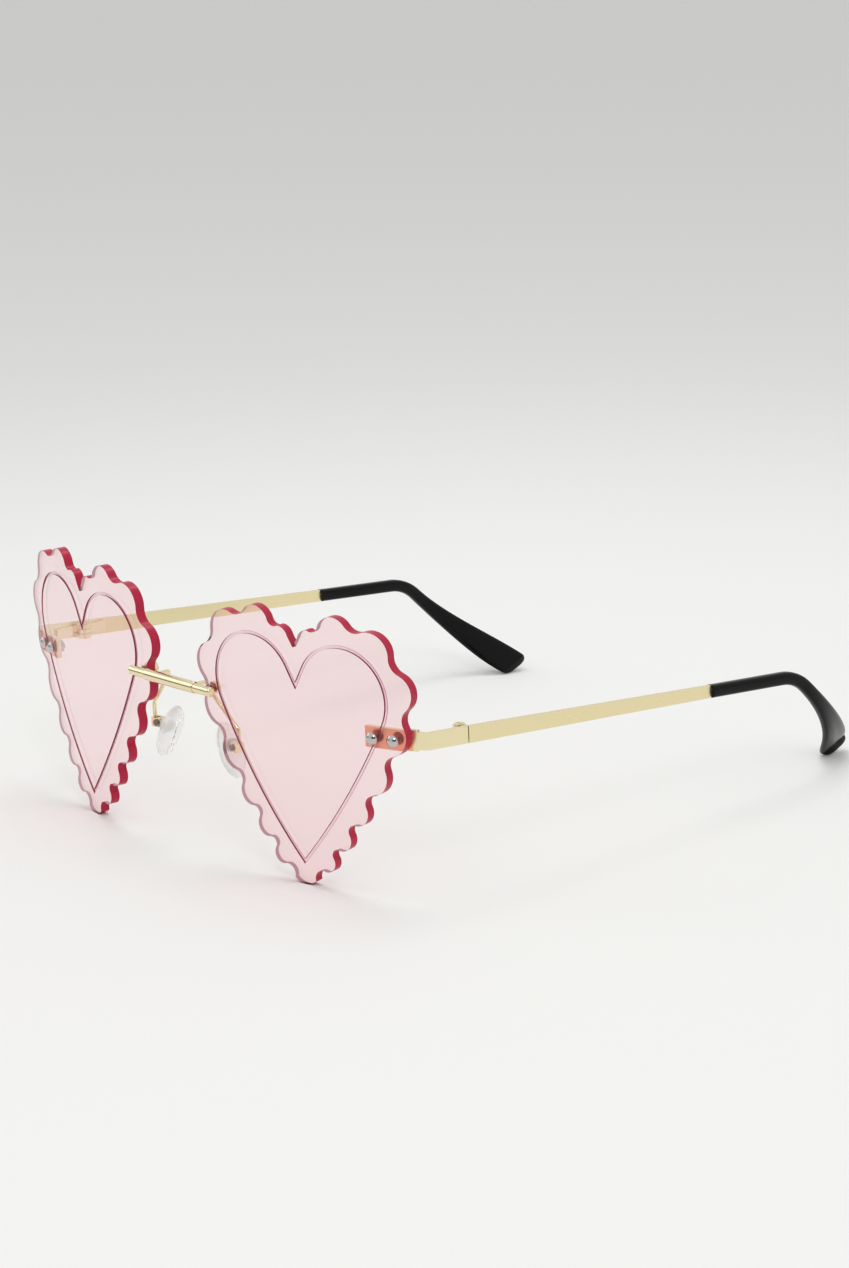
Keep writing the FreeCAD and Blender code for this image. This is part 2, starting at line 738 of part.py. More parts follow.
def left_side():
    """Every piece of the left side, by name."""
    stud_seat = lens_thickness
    lug_seat = lens_thickness + strip_thickness
    return {
        "lens": lens(),
        "lug_screws": lug_screws(),
        "lug_bushings": bushings(lug_shank_radius, lug_spots),
        "lug_nuts": nuts(lug_shank_radius, lug_seat, lug_spots),
        "endpiece": endpiece(),
        "hinge_front": hinge_front(),
        "hinge_screw": hinge_screw(),
        "hinge_rear": hinge_rear(),
        "temple": temple(),
        "temple_tip": temple_tip(),
        "bridge_stud": bridge_stud(),
        "bridge_bushing": bushings(stud_radius, [stud_spot]),
        "bridge_nut": nuts(stud_radius, stud_seat, [stud_spot]),
        "pad_arm": pad_arm(),
        "pad_box": pad_box(),
        "pad_screw": pad_screw(),
        "pad_core": pad_core(),
        "nose_pad": nose_pad(),
    }


def lowest(points, lean):
    """Lowest level of some points once they are leaned about the X axis."""
    return min(point.y * math.sin(lean) + point.z * math.cos(lean) for point in points)


def standing(lens_shape, tip_shape):
    """Placement that stands the frame on its lens points and its temple tips."""
    fineness = seated_fit
    lens_points = lens_shape.tessellate(fineness)[0]
    tip_points = tip_shape.tessellate(fineness)[0]
    low = math.radians(-steepest_lean_angle)
    high = math.radians(steepest_lean_angle)
    for _ in range(50):
        lean = (low + high) / 2
        if lowest(tip_points, lean) > lowest(lens_points, lean):
            high = lean
        else:
            low = lean
    floor = lowest(lens_points, lean)
    return Placement(Vector(0, 0, -floor), Rotation(OUT, math.degrees(lean)))


def all_pieces():
    """Every node of the sunglasses, standing."""
    left = left_side()
    pieces = {"bridge_bar": bridge_bar(), "bridge_sleeve": bridge_sleeve()}
    for name, shape in left.items():
        pieces["left_" + name] = shape
        pieces["right_" + name] = twin(shape)
    stand = standing(left["lens"], left["temple_tip"])
    box = FreeCAD.BoundBox()
    for shape in pieces.values():
        shape.Placement = stand.multiply(shape.Placement)
        box.add(shape.BoundBox)
    centre = Placement(Vector(0, -(box.YMin + box.YMax) / 2, 0), Rotation())
    for shape in pieces.values():
        shape.Placement = centre.multiply(shape.Placement)
    return pieces, centre.multiply(stand)


pieces, standing_place = all_pieces()
os.makedirs("parts", exist_ok=True)
for name, shape in pieces.items():
    shape.exportStep("parts/" + name + ".step")
    solids = shape.Solids
    print(name, len(solids), "solid, volume", round(shape.Volume, 3), "valid", shape.isValid())
print("lean", round(math.degrees(standing_place.Rotation.Angle), 3))
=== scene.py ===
# %% [markdown]
# # Heart shaped sunglasses
# A lesson in dressing a finished CAD part. The wire work, the hinges, the temples and the tips come
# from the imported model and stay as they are. Blender adds the finishes, the skins of the two lenses,
# the soft nose pads, the light and the camera. Every length is in metres, and the pair stands on the
# floor at z = 0.

# %% Load the frame
import json
import math

import bpy
from mathutils import Matrix, Vector


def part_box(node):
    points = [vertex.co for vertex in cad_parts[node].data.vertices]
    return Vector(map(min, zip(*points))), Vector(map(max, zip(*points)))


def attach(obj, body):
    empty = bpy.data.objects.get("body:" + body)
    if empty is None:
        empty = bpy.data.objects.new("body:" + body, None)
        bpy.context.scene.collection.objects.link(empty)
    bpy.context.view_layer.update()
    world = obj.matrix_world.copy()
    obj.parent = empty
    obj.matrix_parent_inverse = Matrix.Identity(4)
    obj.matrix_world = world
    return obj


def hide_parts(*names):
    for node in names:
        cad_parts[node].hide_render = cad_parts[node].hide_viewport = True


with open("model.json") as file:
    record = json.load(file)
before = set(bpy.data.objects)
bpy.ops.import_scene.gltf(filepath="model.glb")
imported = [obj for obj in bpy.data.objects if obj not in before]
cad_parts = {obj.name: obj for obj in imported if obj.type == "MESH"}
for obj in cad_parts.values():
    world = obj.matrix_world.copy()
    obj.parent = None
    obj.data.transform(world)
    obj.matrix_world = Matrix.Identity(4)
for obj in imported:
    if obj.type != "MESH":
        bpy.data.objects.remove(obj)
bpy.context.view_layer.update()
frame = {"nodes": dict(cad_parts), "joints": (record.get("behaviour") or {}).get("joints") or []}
nodes = frame["nodes"]
scene = bpy.context.scene
SIDES = ("left", "right")
MM = 0.001
MICRON = 0.000001
bpy.ops.object.select_all(action="DESELECT")

# %% [markdown]
# ## Camera
# The photograph looks down at the pair from its left front with a long lens, so the two hearts
# differ little in size. A camera could be aimed with a Track To constraint. Here its angles and its
# place are written down, because they were measured from the photograph: heading, tilt, and a small
# roll of the hand held camera.

# %% Place the camera
IMAGE_TALL = 1268
SENSOR_MM = 36.0
FOCAL_PIXELS = 3500.0
CAMERA_PLACE = (0.5981, -0.5397, 0.2447)
HEADING = 48.16
DOWNWARDS = 14.57
ROLL = -1.68
camera_data = bpy.data.cameras.new("camera")
camera = bpy.data.objects.new("camera", camera_data)
scene.collection.objects.link(camera)
camera_data.sensor_width = SENSOR_MM
camera_data.lens = FOCAL_PIXELS * SENSOR_MM / IMAGE_TALL
heading = Matrix.Rotation(math.radians(HEADING), 4, "Z")
tilt = Matrix.Rotation(math.radians(90 - DOWNWARDS), 4, "X")
roll = Matrix.Rotation(math.radians(ROLL), 4, "Z")
camera.matrix_world = Matrix.Translation(CAMERA_PLACE) @ heading @ tilt @ roll
scene.camera = camera
print("camera", [round(v, 4) for v in camera.location], "lens", round(camera_data.lens, 1))

# %% [markdown]
# ## Light tent
# The pair was shot in a light tent: soft light from all round. An image of a studio could give it,
# but an even world needs no file. Polished metal looks like metal only when it has something dark to
# reflect as well, so the tent has two dim openings: a wide one on the camera's side and a narrow one
# at the front left. Each is a direction with a soft rim, and the darker of the two counts.

# %% Set the tent
scene.view_settings.view_transform = "Standard"
TENT_CLOTH = (1.0, 1.0, 0.99)
TENT_OPENING = (0.12, 0.11, 0.10)
TENT_STRENGTH = 0.78
OPENINGS = [
    (Vector((0.72, -0.66, 0.16)).normalized(), 0.80, 0.95),
    (Vector((-0.72, -0.65, 0.20)).normalized(), 0.93, 0.98),
]


def add(tree, kind, **settings):
    """Add a node and set its properties."""
    node = tree.nodes.new(kind)
    for key, value in settings.items():
        setattr(node, key, value)
    return node


def tone(colour):
    """A colour with full alpha."""
    return (*colour, 1.0)


def ramp(tree, start, end):
    """A soft step from 0 at the start value to 1 at the end value."""
    node = add(tree, "ShaderNodeMapRange", interpolation_type="SMOOTHSTEP")
    node.inputs["From Min"].default_value = start
    node.inputs["From Max"].default_value = end
    return node


def two_tones(tree, first, second):
    """A mix of two colours."""
    node = add(tree, "ShaderNodeMix", data_type="RGBA")
    node.inputs["A"].default_value = tone(first)
    node.inputs["B"].default_value = tone(second)
    return node


world = bpy.data.worlds.new("tent")
scene.world = world
world.use_nodes = True
tree = world.node_tree
tent = tree.nodes["Background"]
direction = add(tree, "ShaderNodeTexCoord")
cloth = two_tones(tree, TENT_CLOTH, TENT_OPENING)
dim = add(tree, "ShaderNodeMath", operation="MAXIMUM")
for slot, (middle, rim, core) in enumerate(OPENINGS):
    towards = add(tree, "ShaderNodeVectorMath", operation="DOT_PRODUCT")
    towards.inputs[1].default_value = middle
    edge = ramp(tree, rim, core)
    tree.links.new(direction.outputs["Generated"], towards.inputs[0])
    tree.links.new(towards.outputs["Value"], edge.inputs["Value"])
    tree.links.new(edge.outputs["Result"], dim.inputs[slot])
tree.links.new(dim.outputs["Value"], cloth.inputs["Factor"])
tree.links.new(cloth.outputs["Result"], tent.inputs["Color"])
tent.inputs["Strength"].default_value = TENT_STRENGTH
print("tent", world.name, "openings", len(OPENINGS))

# %% [markdown]
# ## Lamps
# A tent alone leaves no shadow to stand on. Sun lamps would give hard ones, so three area lamps add
# a little soft direction: a ceiling panel, which hangs low so that its light fades with distance, a
# key panel above the camera, and a wide weak panel at the side.

# %% Hang the lamps


def panel(name, place, target, size, watts):
    """A square softbox that faces a point."""
    lamp = bpy.data.lights.new(name, "AREA")
    lamp.size = size
    lamp.energy = watts
    holder = bpy.data.objects.new(name, lamp)
    scene.collection.objects.link(holder)
    holder.location = place
    holder.rotation_euler = (Vector(target) - Vector(place)).to_track_quat("-Z", "Y").to_euler()


panel("ceiling_panel", (-0.1, 0.15, 0.8), target=(0, 0, 0), size=0.35, watts=1.2)
panel("key_panel", (0.75, -0.60, 0.75), target=(0, 0, 0.02), size=0.30, watts=2.0)
panel("side_panel", (-1.2, -0.9, 0.7), target=(0, 0, 0.03), size=0.8, watts=2.0)

# %% [markdown]
# ## Floor
# A seamless pale floor. A small plane would end in a hard line from a low view, so the plane is
# large. Its tone is painted light: a painted pool of light under the pair, falling off to a painted
# soft grey shade further out. The fall is a gradient on the floor's own coordinates, so it stays put
# from every view.

# %% Make the floor
FLOOR_SIZE = 12.0
# The pool's place, its reach and the two tones paint light into the floor's colour: a painted pool of
# light near the pair and painted shade further out.
POOL_SHIFT = (-0.06, 0.06, 0.0)
POOL_RIM = 0.22
POOL_END = 0.70
PAINTED_POOL_TONE = (0.895, 0.895, 0.885)
PAINTED_FAR_SHADE = (0.78, 0.78, 0.77)
PAPER_ROUGHNESS = 0.7
PAPER_SHINE = 0.1
bpy.ops.mesh.primitive_plane_add(size=FLOOR_SIZE, location=(0, 0, 0))
floor = bpy.context.object
floor.name = "floor"


def start_material(name):
    """A new material, its node tree and its Principled shader."""
    material = bpy.data.materials.new(name)
    material.use_nodes = True
    tree = material.node_tree
    return material, tree, tree.nodes["Principled BSDF"]


paper, tree, shader = start_material("floor_paper")
place = add(tree, "ShaderNodeTexCoord")
centre = add(tree, "ShaderNodeMapping")
centre.inputs["Location"].default_value = POOL_SHIFT
reach = add(tree, "ShaderNodeVectorMath", operation="LENGTH")
fall = ramp(tree, POOL_RIM, POOL_END)
shade = two_tones(tree, PAINTED_POOL_TONE, PAINTED_FAR_SHADE)
tree.links.new(place.outputs["Object"], centre.inputs["Vector"])
tree.links.new(centre.outputs["Vector"], reach.inputs[0])
tree.links.new(reach.outputs["Value"], fall.inputs["Value"])
tree.links.new(fall.outputs["Result"], shade.inputs["Factor"])
tree.links.new(shade.outputs["Result"], shader.inputs["Base Color"])
shader.inputs["Roughness"].default_value = PAPER_ROUGHNESS
shader.inputs["Specular IOR Level"].default_value = PAPER_SHINE
floor.data.materials.append(paper)
print("floor", floor.dimensions[:])

# %% [markdown]
# ## Handling marks
# Handled plastic and metal are never perfectly even: fine scratches and a faint film change the
# gloss. More than one finish uses this, so it is one node group with its own inputs. It could be
# painted, but noise on Object coordinates needs no texture file and has no seams. Two noises with a
# mean of one half are added, one is taken away, and what is left raises or lowers the gloss.

# %% Build the marks group
FILM_SCALE = 140.0
FILM_DETAIL = 3.0
SCRATCH_SCALE = 1500.0
SCRATCH_DETAIL = 4.0
NOISE_MEANS = 1.0
marks = bpy.data.node_groups.new("handling_marks", "ShaderNodeTree")
for label, kind, value in [
    ("Gloss", "NodeSocketFloat", 0.2),
    ("Change", "NodeSocketFloat", 0.08),
    ("Stretch", "NodeSocketVector", (1, 1, 1)),
]:
    marks.interface.new_socket(label, in_out="INPUT", socket_type=kind).default_value = value
for label in ("Roughness", "Height"):
    marks.interface.new_socket(label, in_out="OUTPUT", socket_type="NodeSocketFloat")


def noise(scale, detail):
    """A noise texture in the marks group."""
    node = add(marks, "ShaderNodeTexNoise")
    node.inputs["Scale"].default_value = scale
    node.inputs["Detail"].default_value = detail
    return node


given = add(marks, "NodeGroupInput")
result = add(marks, "NodeGroupOutput")
place = add(marks, "ShaderNodeTexCoord")
stretch = add(marks, "ShaderNodeVectorMath", operation="MULTIPLY")
film = noise(FILM_SCALE, FILM_DETAIL)
scratch = noise(SCRATCH_SCALE, SCRATCH_DETAIL)
both = add(marks, "ShaderNodeMath", operation="ADD")
middle = add(marks, "ShaderNodeMath", operation="SUBTRACT")
middle.inputs[1].default_value = NOISE_MEANS
gloss = add(marks, "ShaderNodeMath", operation="MULTIPLY_ADD")
link = marks.links.new
link(place.outputs["Object"], film.inputs["Vector"])
link(place.outputs["Object"], stretch.inputs[0])
link(given.outputs["Stretch"], stretch.inputs[1])
link(stretch.outputs["Vector"], scratch.inputs["Vector"])
link(film.outputs["Fac"], both.inputs[0])
link(scratch.outputs["Fac"], both.inputs[1])
link(both.outputs["Value"], middle.inputs[0])
link(middle.outputs["Value"], gloss.inputs[0])
link(given.outputs["Change"], gloss.inputs[1])
link(given.outputs["Gloss"], gloss.inputs[2])
link(gloss.outputs["Value"], result.inputs["Roughness"])
link(scratch.outputs["Fac"], result.inputs["Height"])
print("group", marks.name, "nodes", len(marks.nodes))

# %% [markdown]
# ## Using the marks
# Each finish places the group with its own gloss, its own change of gloss and its own depth of
# scratches. A stretch below 1 draws the scratches out along that axis, as brushing does. The CAD
# nodes could get a finish through their meshes, but those stay untouched, so a finish goes to the
# material slot of the object.

# %% Wire the marks, and hand finishes to nodes
EVEN = (1, 1, 1)
FULL_STRENGTH = 1.0


def mark_surface(tree, shader, gloss, change, depth, stretch=EVEN):
    """Wire the marks group into a material's roughness and bump."""
    node = add(tree, "ShaderNodeGroup", node_tree=marks)
    node.inputs["Gloss"].default_value = gloss
    node.inputs["Change"].default_value = change
    node.inputs["Stretch"].default_value = stretch
    bump = add(tree, "ShaderNodeBump")
    bump.inputs["Strength"].default_value = FULL_STRENGTH
    bump.inputs["Distance"].default_value = depth
    tree.links.new(node.outputs["Roughness"], shader.inputs["Roughness"])
    tree.links.new(node.outputs["Height"], bump.inputs["Height"])
    tree.links.new(bump.outputs["Normal"], shader.inputs["Normal"])


def dress(material, *names):
    """Give a finish to CAD nodes through their material slots."""
    for name in names:
        nodes[name].material_slots[0].material = material
    print(material.name, "on", ", ".join(names))


def both_sides(*names):
    """Node names of both sides."""
    return [f"{side}_{name}" for side in SIDES for name in names]


print("finishes use", marks.name)

# %% [markdown]
# ## Clear plastic
# Lens, nose pad and screw sleeves are three clear plastics, so one function makes them all. Real
# glass shaders bend light on its way to the floor too, which leaves a black shadow when bounces run
# out. So light that is only on its way to a rough surface goes straight through and takes a stain,
# and the shadow is faint and tinted.

# %% Write the clear plastic
CLEAR_CHANGE = 0.02


def let_light_through(tree, shader, stain):
    """Light on its way to the floor crosses the piece without bending, and takes a stain."""
    path = add(tree, "ShaderNodeLightPath")
    either = add(tree, "ShaderNodeMath", operation="MAXIMUM")
    clear = add(tree, "ShaderNodeBsdfTransparent")
    clear.inputs["Color"].default_value = tone(stain)
    mix = add(tree, "ShaderNodeMixShader")
    tree.links.new(path.outputs["Is Shadow Ray"], either.inputs[0])
    tree.links.new(path.outputs["Is Diffuse Ray"], either.inputs[1])
    tree.links.new(either.outputs["Value"], mix.inputs["Fac"])
    tree.links.new(shader.outputs["BSDF"], mix.inputs[1])
    tree.links.new(clear.outputs["BSDF"], mix.inputs[2])
    tree.links.new(mix.outputs["Shader"], tree.nodes["Material Output"].inputs["Surface"])


def clear_plastic(name, colour, ior, gloss, stain, clearness=1.0):
    """A clear plastic with faint handling marks."""
    material, tree, shader = start_material(name)
    shader.inputs["Base Color"].default_value = tone(colour)
    shader.inputs["Transmission Weight"].default_value = clearness
    shader.inputs["IOR"].default_value = ior
    mark_surface(tree, shader, gloss, CLEAR_CHANGE, 1.0 * MICRON)
    let_light_through(tree, shader, stain)
    return material


print("clear plastics change their gloss by", CLEAR_CHANGE)

# %% [markdown]
# ## Pink acrylic
# The hearts are cut from a tinted sheet. Seen through its faces the sheet is pale rose. Along its
# cut edges, where the light has come a long way inside, it is deep crimson from outside and a
# greyed mauve from inside. One glass with an absorbing inside would give both, but it needs many
# bounces before the edges stop being black. So the faces are tinted glass, and the cut walls have a
# finish of their own that shows one colour on each of its sides.

# %% Make the acrylic
ACRYLIC_IOR = 1.49
PINK_STAIN = (0.97, 0.87, 0.88)
WALL_SHINE = 0.2
WALL_COAT = 0.15
WALL_COAT_ROUGHNESS = 0.08
WALL_CHANGE = 0.1
HOLE_PINK = (0.27, 0.010, 0.024)
HOLE_GLOSS = 0.3


def cut_wall(name, outside, gloss, inside):
    """A cut wall of the sheet: opaque from outside, a deep stain from inside."""
    material, tree, shader = start_material(name)
    shader.inputs["Base Color"].default_value = tone(outside)
    shader.inputs["Specular IOR Level"].default_value = WALL_SHINE
    shader.inputs["Coat Weight"].default_value = WALL_COAT
    shader.inputs["Coat Roughness"].default_value = WALL_COAT_ROUGHNESS
    mark_surface(tree, shader, gloss, WALL_CHANGE, 2.0 * MICRON)
    geometry = add(tree, "ShaderNodeNewGeometry")
    behind = add(tree, "ShaderNodeBsdfTransparent")
    behind.inputs["Color"].default_value = tone(inside)
    turn = add(tree, "ShaderNodeMixShader")
    tree.links.new(geometry.outputs["Backfacing"], turn.inputs["Fac"])
    tree.links.new(shader.outputs["BSDF"], turn.inputs[1])
    tree.links.new(behind.outputs["BSDF"], turn.inputs[2])
    tree.links.new(turn.outputs["Shader"], tree.nodes["Material Output"].inputs["Surface"])
    return material


face_acrylic = clear_plastic("pink_acrylic", (0.985, 0.797, 0.812), ACRYLIC_IOR, 0.02, PINK_STAIN)
line_acrylic = clear_plastic("engraved_acrylic", (0.86, 0.60, 0.66), ACRYLIC_IOR, 0.22, PINK_STAIN)
edge_acrylic = cut_wall("cut_edge_acrylic", (0.47, 0.012, 0.050), 0.32, inside=(0.52, 0.30, 0.36))
wine_acrylic = cut_wall("engraved_wall_acrylic", (0.30, 0.040, 0.085), 0.3, inside=(0.74, 0.47, 0.54))
hole_acrylic, tree, shader = start_material("drilled_acrylic")
shader.inputs["Base Color"].default_value = tone(HOLE_PINK)
mark_surface(tree, shader, HOLE_GLOSS, WALL_CHANGE, 1.0 * MICRON)
lens_finishes = (face_acrylic, edge_acrylic, line_acrylic, wine_acrylic, hole_acrylic)
FACE, EDGE, LINE, WALL, HOLE = range(len(lens_finishes))
print("acrylic", [material.name for material in lens_finishes])

# %% [markdown]
# ## Lens skins
# Each lens is one curved plate, and the CAD shape is right, but its mesh is loose triangles with one
# finish. It could be modelled again from a heart outline. Here a copy is merged into one skin and
# keeps the smooth normals of the CAD surface. Its patches, which are parted by creases, can then be
# told apart: faces that run on into each other without a crease are one patch.

# %% Copy the lenses and find their patches
CREASE_ANGLE = math.radians(25)
CREASE = math.cos(CREASE_ANGLE)
MERGE_REACH = 0.0005 * MM


def merged_copy(name, piece_name):
    """A copy of a CAD node with its triangles joined into one skin, shaded as before."""
    piece = nodes[name].copy()
    piece.data = nodes[name].data.copy()
    piece.name = piece_name
    for key in list(piece.keys()):
        del piece[key]
    piece.parent = None
    scene.collection.objects.link(piece)
    normals = [tuple(corner.vector) for corner in piece.data.corner_normals]
    bpy.ops.object.select_all(action="DESELECT")
    piece.select_set(True)
    bpy.context.view_layer.objects.active = piece
    bpy.ops.object.mode_set(mode="EDIT")
    bpy.ops.mesh.select_all(action="SELECT")
    bpy.ops.mesh.remove_doubles(threshold=MERGE_REACH)
    bpy.ops.object.mode_set(mode="OBJECT")
    if len(normals) == len(piece.data.loops):
        piece.data.normals_split_custom_set(normals)
    else:
        bpy.ops.object.shade_smooth_by_angle(angle=CREASE_ANGLE)
    print(piece_name, "corners", len(normals), "to", len(piece.data.loops))
    return piece


def smooth_patches(mesh):
    """Groups of faces that run on into each other without a crease."""
    sharing = {}
    for face in mesh.polygons:
        for key in face.edge_keys:
            sharing.setdefault(key, []).append(face.index)
    waiting = set(range(len(mesh.polygons)))
    patches = []
    while waiting:
        rim = [waiting.pop()]
        patch = []
        while rim:
            face = mesh.polygons[rim.pop()]
            patch.append(face)
            beside = {index for key in face.edge_keys for index in sharing[key]} & waiting
            for index in beside:
                if face.normal.dot(mesh.polygons[index].normal) > CREASE:
                    waiting.discard(index)
                    rim.append(index)
        patches.append(patch)
    return patches


plates = {side: merged_copy(f"{side}_lens", f"{side}_heart_plate") for side in SIDES}

# %% [markdown]
# ## Lens finishes
# The patches get five finishes: the clear faces, the cut edge, the floor and the walls of the
# engraved line, and the drilled holes. They could be picked by hand, but each can be told by its
# measures: a face is large and looks along the plate's normal, the line's floor is small and does
# too, the line's walls are shallow, and a hole is a small wall that goes once round, so the sum of
# its normals is nothing. What is left is the cut edge.

# %% Give the lenses their finishes
LINE_AREA = 200 * MM * MM
LINE_DEPTH = 1.0 * MM
HOLE_AREA = 30 * MM * MM
FRONT_Y = -0.9
FLAT_SHARE = 0.8
ROUND_SHARE = 0.2


def plate_normal(name):
    """The direction that a lens faces: the mean normal of its front triangles, by area."""
    total = Vector()
    for face in nodes[name].data.polygons:
        if face.normal.y < FRONT_Y:
            total += face.normal * face.area
    return total.normalized()


def wall_depth(mesh, face, facing):
    """How far a face reaches along the plate's normal."""
    levels = [mesh.vertices[index].co.dot(facing) for index in face.vertices]
    return max(levels) - min(levels)


def finish_patch(mesh, patch, facing):
    """Give the faces of a patch the finish of that part of the plate."""
    area = sum(face.area for face in patch)
    across = sum(abs(face.normal.dot(facing)) * face.area for face in patch)
    leftover = sum((face.normal * face.area for face in patch), Vector()).length
    for face in patch:
        if across > FLAT_SHARE * area:
            face.material_index = FACE if area > LINE_AREA else LINE
        elif area < HOLE_AREA and leftover < ROUND_SHARE * area:
            face.material_index = HOLE
        elif wall_depth(mesh, face, facing) < LINE_DEPTH:
            face.material_index = WALL
        else:
            face.material_index = EDGE


for side, plate in plates.items():
    facing = plate_normal(f"{side}_lens")
    plate.data.materials.clear()
    for material in lens_finishes:
        plate.data.materials.append(material)
    for patch in smooth_patches(plate.data):
        finish_patch(plate.data, patch, facing)
    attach(plate, "front")
    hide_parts(f"{side}_lens")
    chosen = [face.material_index for face in plate.data.polygons]
    counts = [chosen.count(finish) for finish in range(len(lens_finishes))]
    print(plate.name, "faces by finish", counts, "facing", [round(v, 3) for v in facing])

# %% [markdown]
# ## Nose pad
# A real pad is a soft oval of clear silicone, domed towards the nose, with a flat boss at the back
# where its core is moulded in. It could be a squashed sphere, but then the boss is missing. A short
# cylinder is pulled out to an oval, both of its ends are inset and stepped like terraces, and a
# Subdivision Surface melts the steps into a soft form. The pad is modelled once, and each side gets
# a copy.

# %% Model one pad
PAD_LONG = 13.5 * MM
PAD_WIDE = 7.0 * MM
PAD_WALL = 1.0 * MM
PAD_DROP = 1.7 * MM
PAD_CORNERS = 28
MELT_LEVELS = 3
# Each step is an inset and a rise, in millimetres.
NOSE_STEPS = [(0.35, 0.30), (0.7, 0.35), (0.9, 0.25), (0.6, 0.10)]
BACK_STEPS = [(0.35, 0.30), (0.7, 0.20), (0.3, 0.02)]
BOSS_STEPS = [(0.2, 0.35), (0.5, 0.12)]
BOSS_SHARE = 0.42


def pick_end(piece, sign):
    """Select the end face of the pad that looks along +X or -X."""
    bpy.ops.object.mode_set(mode="OBJECT")
    bpy.ops.object.mode_set(mode="EDIT")
    bpy.ops.mesh.select_all(action="DESELECT")
    bpy.ops.object.mode_set(mode="OBJECT")
    max(piece.data.polygons, key=lambda face: (sign * face.center.x, face.area)).select = True
    bpy.ops.object.mode_set(mode="EDIT")
    bpy.ops.mesh.select_mode(type="FACE")


def terraces(steps):
    """Inset and raise the selected end, step by step."""
    for inset, rise in steps:
        bpy.ops.mesh.inset(thickness=inset * MM, depth=rise * MM)


bpy.ops.object.select_all(action="DESELECT")
bpy.ops.mesh.primitive_cylinder_add(vertices=PAD_CORNERS, radius=PAD_WIDE / 2, depth=PAD_WALL,
                                    rotation=(0, math.pi / 2, 0))
pad = bpy.context.object
bpy.ops.object.transform_apply(location=True, rotation=True, scale=True)
bpy.ops.object.mode_set(mode="EDIT")
bpy.ops.mesh.select_all(action="SELECT")
bpy.ops.transform.resize(value=(1, 1, PAD_LONG / PAD_WIDE))
pick_end(pad, -1)
terraces(NOSE_STEPS)
pick_end(pad, 1)
terraces(BACK_STEPS)
bpy.ops.transform.resize(value=(1, 1, BOSS_SHARE))
bpy.ops.transform.translate(value=(0, 0, PAD_DROP))
terraces(BOSS_STEPS)
bpy.ops.object.mode_set(mode="OBJECT")
melt = pad.modifiers.new("melt", "SUBSURF")
melt.levels = MELT_LEVELS
melt.render_levels = MELT_LEVELS
bpy.ops.object.modifier_apply(modifier=melt.name)
bpy.ops.object.shade_smooth()
print("pad", len(pad.data.polygons), [round(v / MM, 2) for v in pad.dimensions])

# %% [markdown]
# ## Nose pads in place
# Each pad rocks on its own tiny screw. The copies could be placed by eye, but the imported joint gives
# the screw's place and axis, so the pad's frame is built from that: the axis runs to the back, and
# the pad is turned to face the nose and splayed as on the CAD solid. Silicone is a little milky, so
# it lets most of the light through, but not all.

# %% Place the pads
PAD_REACH = 3.2 * MM
PAD_SPLAY = math.radians(24)
SILICONE = (0.97, 0.972, 0.96)
SILICONE_STAIN = (0.93, 0.93, 0.93)
SILICONE_IOR = 1.24
SILICONE_GLOSS = 0.28
silicone = clear_plastic("clear_silicone", SILICONE, SILICONE_IOR, SILICONE_GLOSS, SILICONE_STAIN,
                         clearness=0.82)
joints = {joint["name"]: joint for joint in frame["joints"]}


def pad_place(joint, sign):
    """The turn and the place that bring the modelled pad to its rocking screw."""
    back = Vector(joint["axis"]).normalized()
    up = (Vector((0, 0, 1)) - back * back.z).normalized()
    out = back.cross(up)
    screw = Matrix((out, back, up)).transposed().to_4x4()
    screw.translation = joint["pos_m"]
    off_screw = Matrix.Translation((-sign * PAD_REACH, 0, -PAD_DROP))
    lean = Matrix.Rotation(-sign * PAD_SPLAY, 4, "Y")
    face_nose = Matrix.Rotation(0 if sign > 0 else math.pi, 4, "Z")
    return screw @ off_screw @ lean @ face_nose


for side, sign in zip(SIDES, (1, -1)):
    piece = pad.copy()
    piece.data = pad.data.copy()
    piece.name = f"{side}_soft_pad"
    scene.collection.objects.link(piece)
    piece.data.transform(pad_place(joints[f"{side}_pad_rock"], sign))
    piece.data.materials.append(silicone)
    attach(piece, f"{side}_pad")
    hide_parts(f"{side}_nose_pad")
    cad_corner = [round(v, 4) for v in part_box(f"{side}_nose_pad")[0]]
    own_corner = [round(min(v.co[i] for v in piece.data.vertices), 4) for i in range(3)]
    print(piece.name, "CAD low corner", cad_corner, "own", own_corner)
bpy.data.objects.remove(pad)

# %% [markdown]
# ## Gold
# The strips of the temples are satin plated and the small wire work is polished brighter. All of it
# is the same pale champagne metal, so one function makes the finishes with different gloss. Brushing
# could be painted on, but the grain of the strips runs along them, which the stretched noise of the
# marks group gives.

# %% Make the golds
CHAMPAGNE = (0.86, 0.765, 0.49)
BRUSHED = (1, 0.04, 1)
METAL = 1.0


def plated(name, colour, gloss, change, depth, stretch=EVEN):
    """A metal finish with handling marks."""
    material, tree, shader = start_material(name)
    shader.inputs["Base Color"].default_value = tone(colour)
    shader.inputs["Metallic"].default_value = METAL
    mark_surface(tree, shader, gloss, change, depth, stretch)
    return material


satin_gold = plated("satin_gold", (0.85, 0.745, 0.45), 0.26, 0.05, 1.2 * MICRON, BRUSHED)
bright_gold = plated("bright_gold", (0.87, 0.77, 0.50), 0.12, 0.04, 0.6 * MICRON)
lens_side_gold = plated("lens_side_gold", CHAMPAGNE, 0.22, 0.05, 1.2 * MICRON)
dress(satin_gold, *both_sides("temple"))
dress(lens_side_gold, *both_sides("endpiece"))
dress(bright_gold, "bridge_bar", "bridge_sleeve")
dress(bright_gold, *both_sides("hinge_front", "hinge_rear", "hinge_screw", "bridge_stud",
                               "bridge_nut", "pad_arm", "pad_box"))

# %% [markdown]
# ## Gold behind the lens
# Where an endpiece lies on the lens, light goes to and fro between metal and acrylic and comes out
# salmon. Such light needs many bounces to render, so that salmon light is painted into the colour of
# the side of the metal that faces the lens. The painted light could be a patch of its own in the mesh,
# but that is the CAD's. Here it is a mask: where the metal looks straight forwards, out to where the
# lens's edge crosses it.

